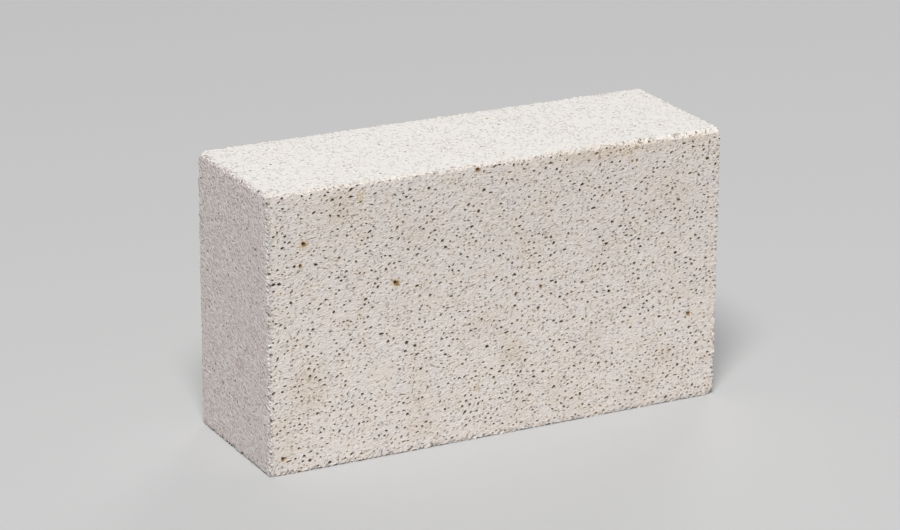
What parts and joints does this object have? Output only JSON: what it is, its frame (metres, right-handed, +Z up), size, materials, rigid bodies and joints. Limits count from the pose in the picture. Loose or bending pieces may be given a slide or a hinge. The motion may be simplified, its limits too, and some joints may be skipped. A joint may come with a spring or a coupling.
{
  "type": "refractory firebrick",
  "caption": "Plain rectangular insulating firebrick, off-white and finely porous, with eased edges and rubbed corners, for lining kilns, ovens and furnaces.",
  "frame": {"origin": "middle of the long narrow face that the brick stands on", "axes": "+X along the length, towards the right end; +Y through the thickness, from the front bed face to the back; +Z up"},
  "size_m": [0.2, 0.065, 0.114],
  "materials": {
    "firebrick": "matte, fired and ground, open-pored, off-white with faint tan stains"
  },
  "bodies": {
    "root": {"firebrick": "firebrick"}
  },
  "joints": []
}
